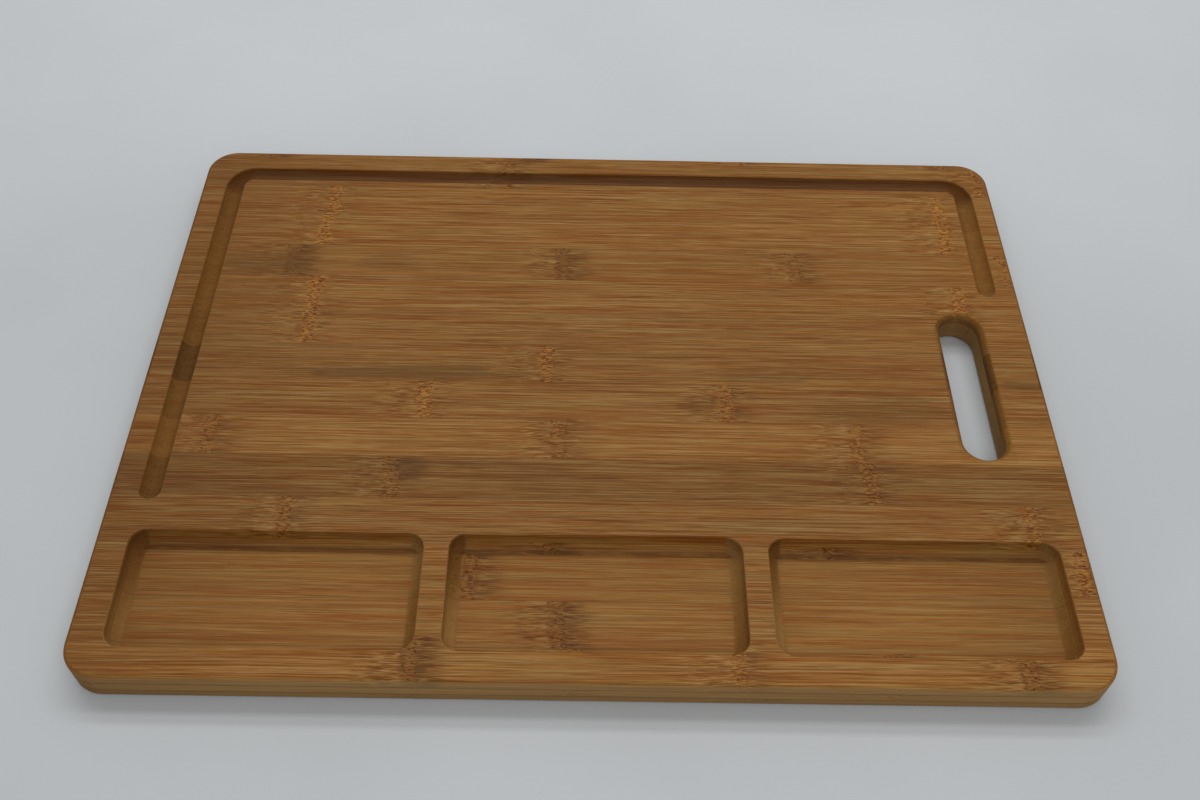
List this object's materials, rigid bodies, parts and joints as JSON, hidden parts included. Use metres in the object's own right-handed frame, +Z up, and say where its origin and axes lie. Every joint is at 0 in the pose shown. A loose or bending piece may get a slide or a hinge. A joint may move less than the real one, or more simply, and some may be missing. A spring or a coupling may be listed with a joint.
{
  "type": "carving board",
  "caption": "Laminated bamboo carving board with a juice groove round three sides, a hand slot in one end and serving wells along the front edge.",
  "frame": {"origin": "centre of the board's underside, which is the face that rests on the worktop", "axes": "+X along the board and its grain towards the end with the hand slot; +Y from the front edge, where the serving wells are, to the back; +Z up, through the thickness"},
  "size_m": [0.38, 0.28, 0.015],
  "materials": {
    "bamboo": "sanded and oiled, satin",
    "bamboo_light": "sanded and oiled, satin",
    "bamboo_dark": "sanded and oiled, satin"
  },
  "bodies": {
    "root": {"bottom_strip_01": "bamboo", "bottom_strip_02": "bamboo", "bottom_strip_03": "bamboo", "bottom_strip_04": "bamboo", "bottom_strip_05": "bamboo", "bottom_strip_06": "bamboo", "bottom_strip_07": "bamboo", "bottom_strip_08": "bamboo", "bottom_strip_09": "bamboo", "bottom_strip_10": "bamboo", "bottom_strip_11": "bamboo", "bottom_strip_12": "bamboo", "bottom_strip_13": "bamboo", "bottom_strip_14": "bamboo", "bottom_strip_15": "bamboo", "core_strip_01": "bamboo", "core_strip_02": "bamboo_light", "core_strip_03": "bamboo_light", "core_strip_04": "bamboo", "core_strip_05": "bamboo", "core_strip_06": "bamboo", "core_strip_07": "bamboo", "core_strip_08": "bamboo", "core_strip_09": "bamboo", "core_strip_10": "bamboo", "core_strip_11": "bamboo", "core_strip_12": "bamboo", "core_strip_13": "bamboo", "core_strip_14": "bamboo", "core_strip_15": "bamboo", "top_strip_01": "bamboo", "top_strip_02": "bamboo", "top_strip_03": "bamboo", "top_strip_04": "bamboo_dark", "top_strip_05": "bamboo_dark", "top_strip_06": "bamboo_light", "top_strip_07": "bamboo", "top_strip_08": "bamboo", "top_strip_09": "bamboo_light", "top_strip_10": "bamboo", "top_strip_11": "bamboo_dark", "top_strip_12": "bamboo", "top_strip_13": "bamboo", "top_strip_14": "bamboo", "top_strip_15": "bamboo"}
  },
  "joints": []
}
